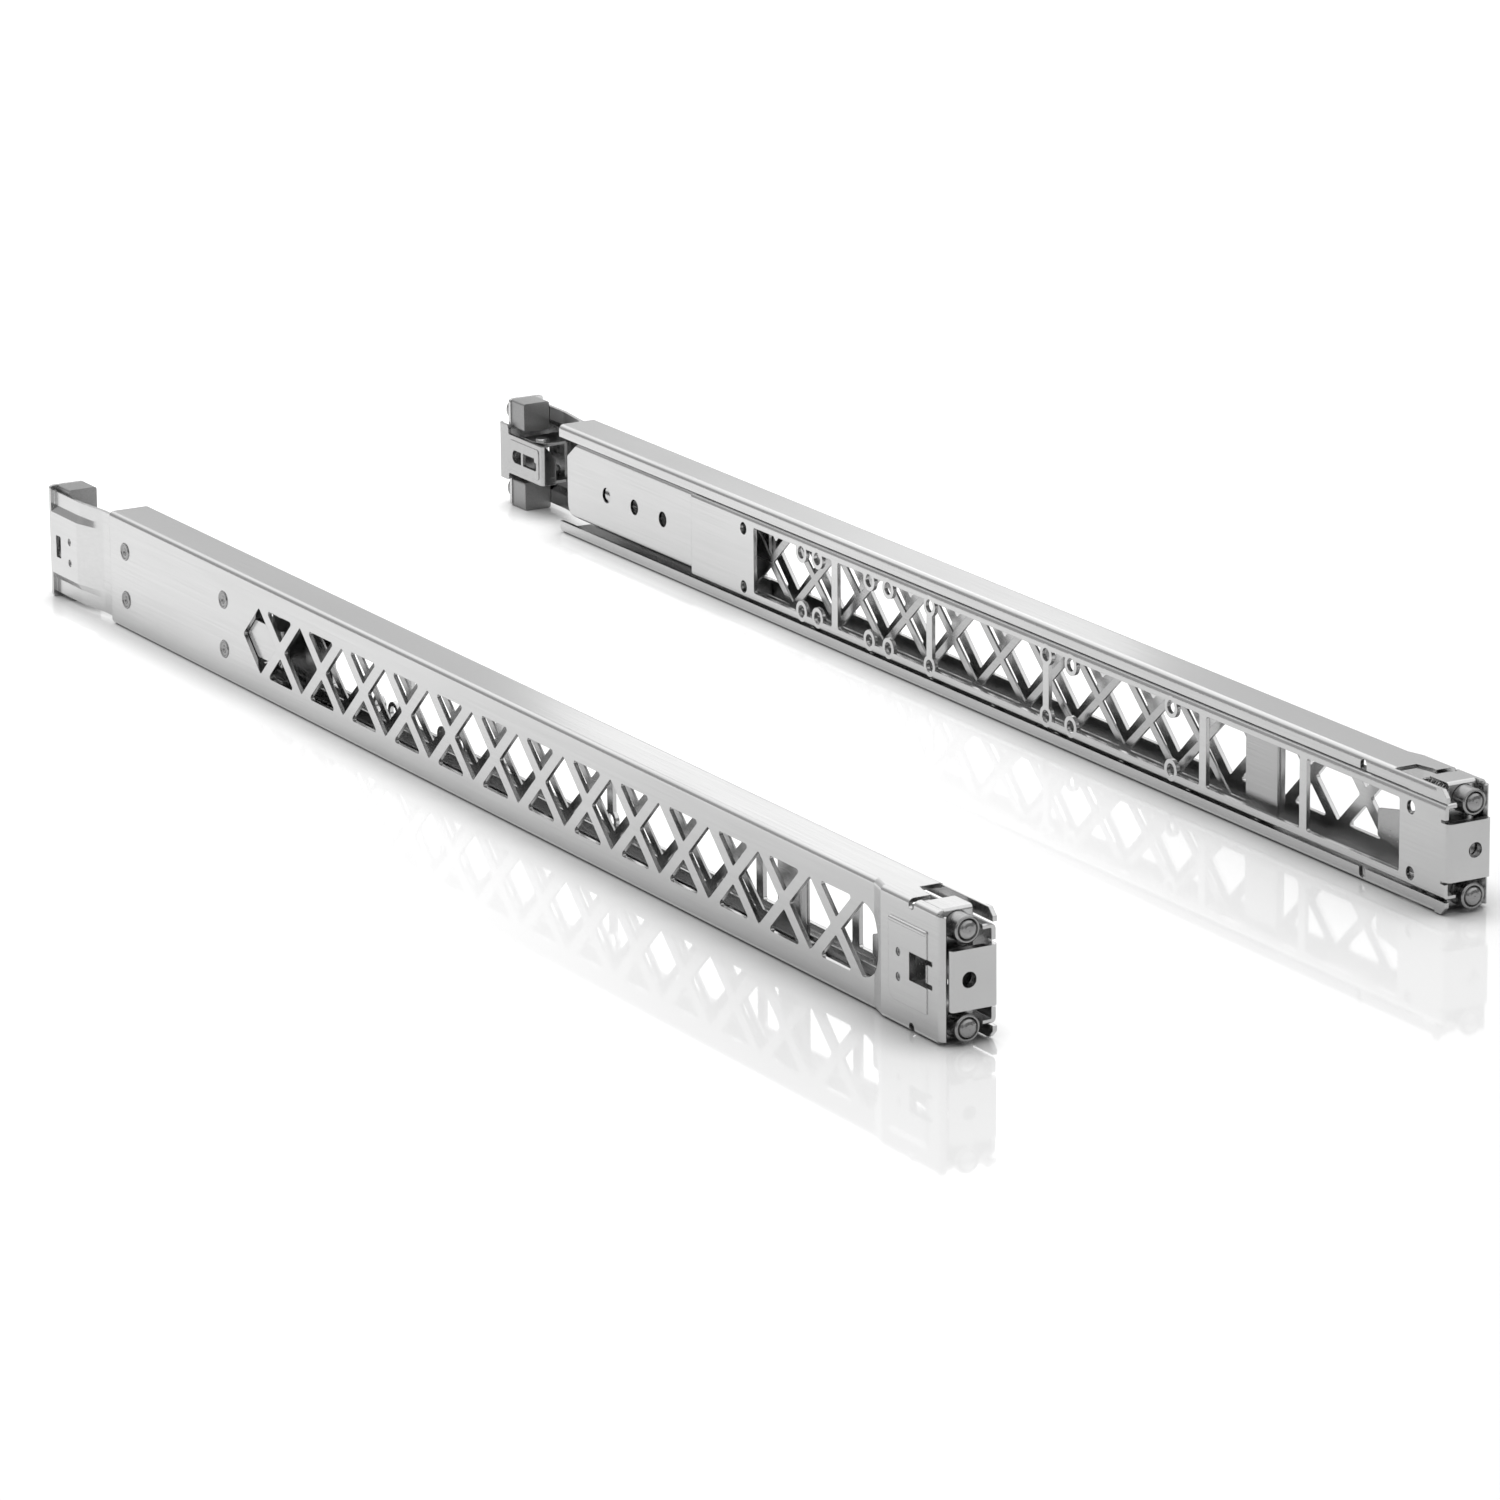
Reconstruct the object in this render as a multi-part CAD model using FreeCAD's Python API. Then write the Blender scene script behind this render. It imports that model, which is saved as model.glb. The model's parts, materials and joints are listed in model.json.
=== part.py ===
import FreeCAD, Part
import math
import os

# A pair of sliding server rails, left and right, lying side by side.
# One rail is drawn in its own frame, in millimetres: X runs inward from the outer
# face of the channel's web, Y runs from the front of the rail to its rear, Z is up.
# place() then sets the left rail, and its mirror image as the right rail.

V = FreeCAD.Vector

# ---- the pair ----
PAIR_WIDTH = 224.9         # outer web to outer web
SET_BACK = 32.4            # the right rail lies this much further back
HOLE_PITCH = 31.75         # between a rail's upper and lower posts
POST_EDGE = 5.65           # from the lower post's centre to the bottom, and likewise above
HEIGHT = HOLE_PITCH + 2 * POST_EDGE
MID = HEIGHT / 2
POSTS_Z = (POST_EDGE, HEIGHT - POST_EDGE)

# ---- shared clearances ----
RUNNING = 0.05             # radial running clearance
SNUG = 0.1                 # between sheets that lie against each other
GAP = 0.25                 # between sheets that slide or swing past each other
ROOM = 0.3                 # between the rear latch's sheet parts
PAST = 1.0                 # how far a cutter runs past the sheet that it cuts

# ---- outer channel ----
WIDTH = 17.05
SHEET = 1.5
BEND = 0.5                 # inner radius of every bend
LIP = 4.7                  # height of the turned-in lips
CHANNEL_REAR = 592.5
BULGE = 1.8                # the front wall stands this far outside the web
JOG_FRONT = 34.0
JOG_REAR = 41.0
WALL_FRONT = 0.9           # where the side wall starts to curl inward
CURL_BEND = -1.2
CURL_TIP = (-0.3, -2.4)
CURL_RADIUS = 1.2
LIP_FRONT = -4.0
TONGUE_SLOPE = -1.5        # where the slope of the lips' front tongues begins
TONGUE_DROP = 3.0
FLANGE_FRONT = 26.5        # where the inner part of the flanges ends
SLOPE_WIDTH = 7.8
STEP_FRONT = 17.3          # where their outer part ends
STEP_REAR = 19.5
STEP_WIDTH = 6.2
FLANGE_RIM = 1.0           # the flange that stays along the side wall reaches this far in
NOTCH_LENGTH = 3.1
NOTCH_DEPTH = 3.2
NOTCH_CORNER = 1.3
LIP_NOTCH_FRONT = 41.6
LIP_NOTCH_LENGTH = 3.6
LIP_NOTCH_EDGE = 1.2       # from the notch's end to the flange's outer face
LIP_NOTCH_CORNER = 1.6

# ---- the web's truss ----
TRUSS_PITCH = 32.36
TRUSS_REAR = 468.9         # centre of the rearmost diamond
TRUSS_FRONT = 46.0         # no diamond's centre lies further forward
TRUSS_COUNT = int((TRUSS_REAR - TRUSS_FRONT) / TRUSS_PITCH) + 1
TRUSS_BAR = 4.2
TRUSS_EDGE = 8.97          # solid web above and below the open band
TRUSS_HALF = MID - TRUSS_EDGE
TRUSS_ANGLE = 43.2
TRUSS_CORNER = 0.9
FRONT_CURVE = 1.5          # the foremost diamond's curve stays this much short of its corner

# ---- sliding member ----
RACE_ROOM = 0.575          # between the channel's lips and the member
MEMBER_HEIGHT = HEIGHT - 2 * (LIP + RACE_ROOM)
MEMBER_FRONT = -3.3
MEMBER_REAR = 489.3
MEMBER_FLANGE = 4.7        # reach of its races
MEMBER_BEND = 0.6
MEMBER_RIM = 3.65          # solid web above and below the windows
MEMBER_WINDOW = MEMBER_HEIGHT - 2 * MEMBER_RIM
MEMBER_WINDOW_CORNER = 1.0
MEMBER_CHAMFER = 0.5       # of its front corners
MEMBER_HOLE_RADIUS = 2.35
MEMBER_HOLE_EDGE = 5.05    # from a hole's centre to the member's edge, on average
MEMBER_HOLE_Z = MID - 0.425
MEMBER_HOLE_SPACING = MEMBER_HEIGHT - 2 * MEMBER_HOLE_EDGE
BOSS_RADIUS = 3.9
END_PLATE_REAR = 22.4
REAR_PLATE_FRONT = 442.5
BARS = ((78.4, 4.2), (139.0, 4.2), (238.7, 3.8), (317.0, 3.8), (383.5, 4.2))
BOSSES = (158.8, 222.6, 238.7, 317.0, 345.7, 359.0, 396.0, 407.5)
PLATE_HOLES = (16.0, 450.0)

# ---- front tab of the member ----
TAB_FRONT = -5.3
TAB_HEIGHT = 19.7
TAB_OUTER = 0.1
TAB_RELIEF = 1.0           # slit between the tab and the web beside it
TAB_RELIEF_REAR = -1.0
HEM_LENGTH = 13.0          # of the sheet folded back behind the tab
HEM_CORNER = 1.2
TAB_HOLE_RADIUS = 2.6

# ---- front posts and their carrier ----
POST_X = 6.3
CARRIER_SHEET = 1.0
CARRIER_FRONT = 2.0
CARRIER_TOP_DEPTH = 10.6
PLATE_OUTER = 1.1          # where the bent part of the carrier begins
LEG_X = -BULGE + SHEET + SNUG
LEG_REAR = 28.0
LEG_BOTTOM = MID - 9.5
LEG_TOP = MID + 7.5
EAR_FRONT = 16.4
EAR_REACH = 5.2
EAR_BOTTOM = MID + 9.8
PIN_RADIUS = 3.3
PIN_DOME = ((1.9, 0.1), (1.0, 0.4), (0.35, 0.9), (0.0, 1.7))   # in from the radius, back from the tip
PIN_TIP = -5.6
PIN_TAIL_RADIUS = 2.2
CLENCH = 0.8               # height and flare of a clenched end
SLEEVE_RADIUS = 4.5
SLEEVE_FRONT = -4.5
SLEEVE_CHAMFER = 0.4
SLEEVE_ROOM = 0.12         # radial, in the front plate
MOUTH_WIDTH = 0.3          # chamfer of the sleeve's bore
MOUTH_DEPTH = 0.6
NECK_DEPTH = 0.2           # a post is this much thinner inside its plate
COLLAR_RADIUS = 5.3
COLLAR_LENGTH = 1.1
SPRING_WIRE = 0.35
CARRIER_WIDTH = WIDTH - MEMBER_FLANGE - GAP

# ---- front latch ----
WINDOW_REAR = 16.6
WINDOW_FRONT = 6.6
WINDOW_HEIGHT = 9.2
WINDOW_EAR = 1.6
WINDOW_EAR_REACH = 3.3
WINDOW_CORNER = 0.4
PANEL_FRONT = 6.4          # raised panel around the window
PANEL_REAR = 29.0
PANEL_BOTTOM = 8.3
PANEL_TOP = HEIGHT - 8.75
PANEL_RELIEF = 0.35
PANEL_CORNERS = [0.3, 4, 1, 0.3]
RIB_RADIUS = 0.95
RIB_REAR = PANEL_REAR - 1
LATCH_X = 5.6
LATCH_Y = 12.5
LATCH_PIN_RADIUS = 1.2
KNUCKLE_RADIUS = 2.3
KNUCKLE_HALF = 4.8
LATCH_SHEET = 1.0
LUG_ROOM = 0.5             # between the window's edge and each lug that holds the pin
LUG_LOW = MID - WINDOW_HEIGHT / 2 - LUG_ROOM - CARRIER_SHEET
LUG_HALF = 3.0
LUG_REACH = 2.6
NOSE_FRONT = -1.9
NOSE_HALF = 2.5
NOSE_ROOM = 0.7            # above and below the nose in the front plate's slot
BARB_LENGTH = 1.3
BARB_DEPTH = 1.7
TAIL_WAIST = 31.0
TAIL_REAR = 50.5

# ---- small rivets ----
SMALL_RIVET_RADIUS = 1.35
SMALL_RIVET_SUNK = 0.25
SMALL_RIVET_CLENCH = 0.5
DIMPLE_RADIUS = 0.6
SMALL_RIVET_Z = (MID - 5.2, MID + 2.9)
FRONT_RIVET_Y = 23.15
REAR_RIVET_Y = 624.6

# ---- rear guide ----
GUIDE_SHEET = 1.2
GUIDE_BOTTOM = 7.1
GUIDE_TOP = HEIGHT - 5.45
GUIDE_FRONT = 490.0
GUIDE_REAR = 588.9
GUIDE_FOOT = 9.4
GUIDE_BEND = 0.8
GUIDE_SLOPE_LENGTH = 8.4   # of its sloped upper rear corner
GUIDE_SLOPE_DROP = 6.5
GUIDE_CORNER = 6.0         # radius of its lower rear corner
GUIDE_HOLE_RADIUS = 3.0
GUIDE_HOLE_Y = 536.0
GUIDE_HOLE_SPACING = 22.0
GUIDE_HOLE_Z = MID + 0.275
GUIDE_RIVET_Y = (497.9, 579.8)
GUIDE_RIVET_Z = (MID - 9.6, MID + 8.8)
RIVET_HEAD_RADIUS = 3.4
RIVET_HEAD_DOME = ((0.0, 0.6), (0.9, 0.5), (1.5, -0.1), (2.4, -0.12), (2.7, -0.4), (3.1, -0.4))
RIVET_SHOULDER_RADIUS = 2.3
RIVET_NECK_RADIUS = 1.95
RIVET_TAIL_RADIUS = 1.7
RIVET_CLENCH = 0.9

# ---- ball retainer ----
CAGE_SHEET = 0.8
CAGE_FRONT = 101.0
CAGE_REAR = 455.0
BRIDGE_REAR = 120.0
CROSS_REAR = 438.6         # centre of the rearmost crossing
CROSS_FRONT = BRIDGE_REAR + 25.0      # no crossing lies further forward
CROSS_COUNT = int((CROSS_REAR - CROSS_FRONT) / TRUSS_PITCH) + 1
CROSS_BAR = 3.0
CROSS_EDGE = 2.75          # from the lattice to the level of the member's edge
CROSS_HALF = MEMBER_HEIGHT / 2 - CROSS_EDGE
CROSS_ANGLE = 41.0
CAGE_ROOM = 0.3            # between the cage and the member's races
CAGE_BEND = 0.4
APRON_DEPTH = 2.4          # of the bridge's bent front edge
APRON_LENGTH = 4.0
APRON_BEND = 0.8
BALL_PLAY = 0.19           # between a ball and each of its races
BALL_RADIUS = (LIP + RACE_ROOM - SHEET) / 2 - BALL_PLAY
BALL_ROOM = 0.4            # between a ball and the web beside it
POCKET_ROOM = 0.1
CAGE_REACH = -0.15         # of the cage's edges past the balls
BALL_FIRST = 110.0
BALL_PITCH = 42.0
BALL_COUNT = 8

# ---- rear bracket ----
BRACKET_SHEET = 1.3
BRACKET_BOTTOM = 2.0
BRACKET_TOP = HEIGHT - 2.05
BAND_HEIGHT = 5.25         # of the recessed bands along its edges
BAND_SLOPE = 2.5
BRACKET_SLOT_FRONT = 632.3
BRACKET_SLOT_LENGTH = 4.1
BRACKET_SLOT_BOTTOM = MID - 5.1
BRACKET_SLOT_TOP = MID + 3.3
BRACKET_SLOT_CORNER = 0.8
TAIL_FRONT = 455.0
SLOT_REAR = 583.5
SLOT_RADIUS = 2.5
JOGGLE_FRONT = 602.0
JOGGLE_REAR = 618.0
BAND_X = -0.2              # outer face of the recessed bands
FLANGE_Y = 640.0
FLANGE_SHEET = 1.5
FLANGE_INNER = 12.9
FLANGE_CORNER = 1.4

# ---- rear posts ----
BLOCK = 11.25
BLOCK_CORNER = 0.9
REAR_POST_X = 6.85
BLOCK_FRONT = 629.5
STUD_RADIUS = 4.45
STUD_DOME = ((0.0, 1.7), (0.5, 0.8), (1.5, 0.25), (3.0, 0.0))   # in from the radius, back from the tip
STUD_ROOT = 1.0            # how deep the stud is sunk into its block
STUD_TIP = 648.0

# ---- rear latch ----
HINGE_SHEET = 1.2
HINGE_TOP = MID + 8.3
HINGE_X = 9.05
HINGE_Y = 622.0
HINGE_PIN_RADIUS = 1.5
HINGE_LEG_REAR = HINGE_Y + 9.0
HINGE_EAR_FRONT = HINGE_Y - 6.4
HINGE_EAR_REAR = HINGE_Y + 8.0
PIN_CLENCH = 0.5
CATCH_SHEET = 1.2
CATCH_X = 14.55            # its inner, visible face
CATCH_FRONT = 611.5
CATCH_STEP = 639.0
CATCH_REAR = 647.0
CATCH_BOTTOM = MID - 7.6
CATCH_TOP = MID + 8.0
HOOK_BOTTOM = MID - 10.6
HOOK_TOP = MID + 11.4
HOOK_REACH = 6.0
STEP_CORNER = 1.5          # where the hook's height drops to the plate's
CATCH_CORNER = 0.8
CATCH_EAR_SHEET = 1.1
CATCH_EAR_Z = HINGE_TOP - HINGE_SHEET - ROOM - CATCH_EAR_SHEET   # just inside the bracket's ears
RAISED_FRONT = 2.7         # margins of the plate's raised field
RAISED_REAR = 1.2
RAISED_EDGE = 1.7
RAISED_RELIEF = 0.3
FINGER_REACH = 6.2
FINGER_SLOPE = 6.0
SLOT_HALF = 2.5
SLOT_FRONT = HINGE_Y - 6.2
SLOT_STEP = 1.6            # of the notch in the slot's upper front corner
SLOT_DIVIDER = HINGE_Y + 4.8          # front of the bar that divides its slot
DIVIDER_WIDTH = 1.4
SLOT_REAR_LENGTH = 7.2
SLOT_CORNER = 0.3

CENTRE_Y = (PIN_TIP + STUD_TIP + SET_BACK) / 2

PLANES = {
    "yz": (lambda a, b, c: V(c, a, b), V(1, 0, 0)),
    "xz": (lambda a, b, c: V(a, c, b), V(0, 1, 0)),
    "xy": (lambda a, b, c: V(a, b, c), V(0, 0, 1)),
}
X_AXIS = V(1, 0, 0)
Y_AXIS = V(0, 1, 0)
Z_AXIS = V(0, 0, 1)


# ---------------------------------------------------------------- drawing helpers
def corner(before, point, after, radius):
    """Start, middle and end of the arc that rounds one corner of an outline."""
    u = (before - point).normalize()
    w = (after - point).normalize()
    half = u.getAngle(w) / 2
    if radius <= 0 or half > math.pi / 2 - 1e-6:
        return point, None, point
    reach = radius / math.tan(half)
    middle = point + (u + w).normalize() * (radius / math.sin(half) - radius)
    return point + u * reach, middle, point + w * reach


def outline(points, plane, level, radius=0.0):
    """Closed wire through points of one plane; radius is one number or one per corner."""
    to_3d = PLANES[plane][0]
    spots = [to_3d(a, b, level) for a, b in points]
    radii = radius if isinstance(radius, (list, tuple)) else [radius] * len(spots)
    corners = []
    for i, spot in enumerate(spots):
        after = spots[(i + 1) % len(spots)]
        corners.append(corner(spots[i - 1], spot, after, radii[i]))
    edges = []
    for i, (start, middle, end) in enumerate(corners):
        if middle is not None:
            edges.append(Part.Arc(start, middle, end).toShape())
        following = corners[(i + 1) % len(corners)][0]
        if end.distanceToPoint(following) > 1e-6:
            edges.append(Part.LineSegment(end, following).toShape())
    return Part.Wire(edges)


def prism(points, plane, low, high, radius=0.0):
    """Solid between two levels of the axis that is normal to the plane."""
    face = Part.Face(outline(points, plane, low, radius))
    return face.extrude(PLANES[plane][1] * (high - low))


def strip(path, sheet, bend=BEND):
    """Outline and corner radii of bent sheet that lies to the left of an open path."""
    spots = [V(a, b, 0) for a, b in path]
    runs = [(q - p).normalize() for p, q in zip(spots, spots[1:])]
    sides = [V(-run.y, run.x, 0) for run in runs]
    base_radii = [0.0]
    side_radii = [0.0]
    offset = [spots[0] + sides[0] * sheet]
    for i in range(1, len(spots) - 1):
        mitre = (sides[i - 1] + sides[i]).normalize()
        offset.append(spots[i] + mitre * (sheet / mitre.dot(sides[i])))
        left_turn = runs[i - 1].cross(runs[i]).z > 0
        base_radii.append(bend + sheet if left_turn else bend)
        side_radii.append(bend if left_turn else bend + sheet)
    offset.append(spots[-1] + sides[-1] * sheet)
    base_radii.append(0.0)
    side_radii.append(0.0)
    points = [(p.x, p.y) for p in spots] + [(p.x, p.y) for p in reversed(offset)]
    return points, base_radii + side_radii[::-1]


def bent(path, sheet, plane, low, high, bend=BEND):
    """Bent sheet metal: the strip along a path, drawn out to two levels."""
    points, radii = strip(path, sheet, bend)
    return prism(points, plane, low, high, radii)


def box(x0, x1, y0, y1, z0, z1):
    return Part.makeBox(x1 - x0, y1 - y0, z1 - z0, V(x0, y0, z0))


def rod(radius, start, end):
    """Round bar between two points."""
    start = V(*start)
    way = V(*end) - start
    return Part.makeCylinder(radius, way.Length, start, way)


def turned(profile, centre, axis):
    """Revolved solid; profile lists (radius, distance along the axis)."""
    side = X_AXIS if axis.cross(X_AXIS).Length > 0.5 else Y_AXIS
    origin = V(*centre)
    spots = [origin + side * radius + axis * along for radius, along in profile]
    face = Part.Face(Part.makePolygon(spots + [spots[0]]))
    return face.revolve(origin, axis, 360)


def upside_down(shape):
    """The same shape on the other side of the rail's middle height."""
    return shape.mirror(V(0, 0, MID), Z_AXIS)


def both_edges(shape):
    return [shape, upside_down(shape)]


def upright_bore(radius, x, y):
    """Cutter for an upright pin's hole, which stays clear of the rail's flanges."""
    end = 5.0
    return rod(radius + RUNNING, (x, y, end), (x, y, HEIGHT - end))


def coil(centre, axis, mean_radius, wire_radius, length, turns):
    """Open coil of round wire that starts at centre and grows along axis."""
    helix = Part.makeHelix(length / turns, length, mean_radius)
    ring = [V(mean_radius + wire_radius * math.cos(math.radians(a)), 0,
              wire_radius * math.sin(math.radians(a))) for a in range(0, 360, 60)]
    section = Part.makePolygon(ring + [ring[0]])
    spring = Part.Wire(helix.Edges).makePipeShell([section], True, True)
    turn = FreeCAD.Rotation(Z_AXIS, axis)
    spring.Placement = FreeCAD.Placement(V(*centre), turn)
    return spring


# ---------------------------------------------------------------- outer channel
def channel_path(web_x):
    return [(WIDTH, HEIGHT - LIP), (WIDTH, HEIGHT), (web_x, HEIGHT),
            (web_x, 0), (WIDTH, 0), (WIDTH, LIP)]


def truss_windows():
    """Diamonds and the triangles between them, cut through the web."""
    slope = math.tan(math.radians(TRUSS_ANGLE))
    beside = TRUSS_BAR / 2 / math.sin(math.radians(TRUSS_ANGLE))
    above = TRUSS_BAR / 2 / math.cos(math.radians(TRUSS_ANGLE))
    half_width = TRUSS_PITCH / 2 - beside
    half_height = half_width * slope
    half_base = (TRUSS_HALF - above) / slope
    windows = []
    for n in range(TRUSS_COUNT):
        y = TRUSS_REAR - n * TRUSS_PITCH
        if n < TRUSS_COUNT - 1:
            diamond = [(y + half_width, MID), (y, MID + half_height),
                       (y - half_width, MID), (y, MID - half_height)]
            windows.append(prism(diamond, "yz", -PAST, SHEET + PAST, TRUSS_CORNER))
            crossing = y - TRUSS_PITCH / 2
            for way in (1, -1):
                triangle = [(crossing, MID + way * above),
                            (crossing + half_base, MID + way * TRUSS_HALF),
                            (crossing - half_base, MID + way * TRUSS_HALF)]
                windows.append(prism(triangle, "yz", -PAST, SHEET + PAST, TRUSS_CORNER))
        else:
            windows.append(round_front_window(y, half_width, half_height))
    return windows


def round_front_window(y, half_width, half_height):
    """The foremost diamond, whose front is one curve."""
    rear = V(-PAST, y + half_width, MID)
    top = V(-PAST, y, MID + half_height)
    front = V(-PAST, y - half_width + FRONT_CURVE, MID)
    bottom = V(-PAST, y, MID - half_height)
    edges = [Part.LineSegment(rear, top).toShape(), Part.Arc(top, front, bottom).toShape(),
             Part.LineSegment(bottom, rear).toShape()]
    return Part.Face(Part.Wire(edges)).extrude(X_AXIS * (SHEET + 2 * PAST))


def front_window(low_x, high_x, room=0.0):
    """Opening over the latch knuckle, with an ear at its top and bottom front corners."""
    low = MID - WINDOW_HEIGHT / 2 - room
    high = MID + WINDOW_HEIGHT / 2 + room
    ear_front = WINDOW_FRONT - WINDOW_EAR_REACH - room
    front = WINDOW_FRONT - room
    points = [(WINDOW_REAR + room, low), (WINDOW_REAR + room, high), (ear_front, high),
              (ear_front, high - WINDOW_EAR), (front, high - WINDOW_EAR),
              (front, low + WINDOW_EAR), (ear_front, low + WINDOW_EAR), (ear_front, low)]
    return prism(points, "yz", low_x, high_x, WINDOW_CORNER)


def outer_channel():
    points, radii = strip(channel_path(0.0), SHEET)
    body = prism(points, "xz", JOG_REAR, CHANNEL_REAR, radii)
    wide, wide_radii = strip(channel_path(-BULGE), SHEET)
    jog = Part.makeLoft([outline(wide, "xz", JOG_FRONT, wide_radii),
                         outline(points, "xz", JOG_REAR, radii)], True, True)
    front = prism(wide, "xz", WALL_FRONT, JOG_FRONT, wide_radii)
    curl = bent([(-BULGE, WALL_FRONT + 0.01), (-BULGE, CURL_BEND), CURL_TIP], SHEET, "xy",
                SHEET, HEIGHT - SHEET, CURL_RADIUS)
    tongue = prism([(LIP_FRONT, HEIGHT - LIP), (WALL_FRONT + PAST, HEIGHT - LIP),
                    (WALL_FRONT + PAST, HEIGHT - BEND), (TONGUE_SLOPE, HEIGHT - BEND),
                    (LIP_FRONT, HEIGHT - TONGUE_DROP)], "yz", WIDTH - SHEET, WIDTH)
    panel = prism([(PANEL_FRONT, PANEL_BOTTOM), (PANEL_REAR, PANEL_BOTTOM),
                   (PANEL_REAR, PANEL_TOP), (PANEL_FRONT, PANEL_TOP)], "yz",
                  -BULGE - PANEL_RELIEF, -BULGE + 0.2, PANEL_CORNERS)
    rib_front = PANEL_FRONT + RIB_RADIUS
    rib = rod(RIB_RADIUS, (-BULGE, rib_front, PANEL_TOP), (-BULGE, RIB_REAR, PANEL_TOP))
    rib = rib.fuse(Part.makeSphere(RIB_RADIUS, V(-BULGE, rib_front, PANEL_TOP)))
    channel = body.fuse([jog, front, curl, panel, rib] + both_edges(tongue))

    ahead = LIP_FRONT - 2
    above = HEIGHT + PAST
    notch_front = STEP_FRONT - NOTCH_LENGTH
    flange_cut = prism([(FLANGE_RIM, ahead), (FLANGE_RIM, notch_front),
                        (-BULGE - PAST, notch_front), (-BULGE - PAST, STEP_FRONT),
                        (STEP_WIDTH, STEP_FRONT), (STEP_WIDTH, STEP_REAR),
                        (SLOPE_WIDTH, FLANGE_FRONT), (WIDTH - SHEET, FLANGE_FRONT),
                        (WIDTH - SHEET, ahead)], "xy", HEIGHT - SHEET - BEND, above)
    wall_notch = prism([(notch_front, above), (notch_front, HEIGHT - NOTCH_DEPTH),
                        (STEP_FRONT, HEIGHT - NOTCH_DEPTH), (STEP_FRONT, above)],
                       "yz", -BULGE - PAST, FLANGE_RIM, [0, NOTCH_CORNER, NOTCH_CORNER, 0])
    lip_trim = box(WIDTH - SHEET, WIDTH + PAST, ahead, FLANGE_FRONT, HEIGHT - BEND, above)
    lip_notch_rear = LIP_NOTCH_FRONT + LIP_NOTCH_LENGTH
    lip_notch = prism([(LIP_NOTCH_FRONT, HEIGHT - LIP - PAST), (lip_notch_rear, HEIGHT - LIP - PAST),
                       (lip_notch_rear, HEIGHT - LIP_NOTCH_EDGE),
                       (LIP_NOTCH_FRONT, HEIGHT - LIP_NOTCH_EDGE)], "yz",
                      WIDTH - SHEET - 0.7, WIDTH + PAST, [0, 0, LIP_NOTCH_CORNER, LIP_NOTCH_CORNER])
    cuts = truss_windows() + [front_window(-BULGE - PAST, 0.5)]
    for cut in (flange_cut, wall_notch, lip_trim, lip_notch):
        cuts += both_edges(cut)
    for z in SMALL_RIVET_Z:
        cuts.append(rod(SMALL_RIVET_RADIUS + RUNNING, (-BULGE - PAST, FRONT_RIVET_Y, z),
                        (-BULGE + SHEET + PAST, FRONT_RIVET_Y, z)))
    for y in GUIDE_RIVET_Y:
        for z in GUIDE_RIVET_Z:
            cuts.append(rod(RIVET_NECK_RADIUS + RUNNING, (-PAST, y, z), (SHEET + PAST, y, z)))
    return channel.cut(cuts)


# ---------------------------------------------------------------- front end
def front_post_carrier():
    """Nested sheet: front plate, top and bottom flanges, side leg, two post ears, two lugs."""
    plate_rear = CARRIER_FRONT + CARRIER_SHEET
    wrap_rear = CARRIER_FRONT + CARRIER_TOP_DEPTH
    wrap = bent([(wrap_rear, HEIGHT), (CARRIER_FRONT, HEIGHT), (CARRIER_FRONT, 0), (wrap_rear, 0)],
                CARRIER_SHEET, "yz", PLATE_OUTER, CARRIER_WIDTH)
    high = HEIGHT - SHEET - BEND - RUNNING
    low = HEIGHT - high
    plate_edge = box(LEG_X, PLATE_OUTER + 0.1, CARRIER_FRONT, plate_rear, low, high)
    ear_rear = EAR_FRONT + CARRIER_SHEET
    leg = prism([(CARRIER_FRONT, low), (ear_rear, low), (ear_rear, LEG_BOTTOM),
                 (LEG_REAR, LEG_BOTTOM), (LEG_REAR, LEG_TOP), (ear_rear, LEG_TOP),
                 (ear_rear, high), (CARRIER_FRONT, high)], "yz", LEG_X, LEG_X + CARRIER_SHEET,
                [0, 1, 0.5, 2, 2, 0.5, 1, 0])
    ear = box(LEG_X, POST_X + EAR_REACH, EAR_FRONT, ear_rear, EAR_BOTTOM, high)
    lug = prism([(LEG_X, LATCH_Y - LUG_HALF), (LATCH_X + LUG_REACH, LATCH_Y - LUG_HALF),
                 (LATCH_X + LUG_REACH, LATCH_Y + LUG_HALF), (LEG_X, LATCH_Y + LUG_HALF)], "xy",
                LUG_LOW, LUG_LOW + CARRIER_SHEET, [0, 2.4, 2.4, 0])
    carrier = wrap.fuse([plate_edge, leg] + both_edges(ear) + both_edges(lug))

    cuts = [front_window(LEG_X - PAST, LEG_X + CARRIER_SHEET, LUG_ROOM)]
    barb_tip = LATCH_X - LATCH_SHEET / 2 - BARB_DEPTH
    nose_room = NOSE_HALF + NOSE_ROOM
    cuts.append(box(barb_tip - 0.5, LATCH_X + 2, CARRIER_FRONT - PAST, plate_rear + PAST,
                    MID - nose_room, MID + nose_room))
    for z in POSTS_Z:
        cuts.append(rod(SLEEVE_RADIUS + SLEEVE_ROOM, (POST_X, CARRIER_FRONT - PAST, z),
                        (POST_X, plate_rear + PAST, z)))
        cuts.append(rod(PIN_TAIL_RADIUS + RUNNING, (POST_X, EAR_FRONT - PAST, z),
                        (POST_X, ear_rear + PAST, z)))
    for z in SMALL_RIVET_Z:
        cuts.append(rod(SMALL_RIVET_RADIUS + RUNNING, (LEG_X - PAST, FRONT_RIVET_Y, z),
                        (LEG_X + CARRIER_SHEET + PAST, FRONT_RIVET_Y, z)))
    cuts.append(upright_bore(LATCH_PIN_RADIUS, LATCH_X, LATCH_Y))
    return carrier.cut(cuts)


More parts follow.
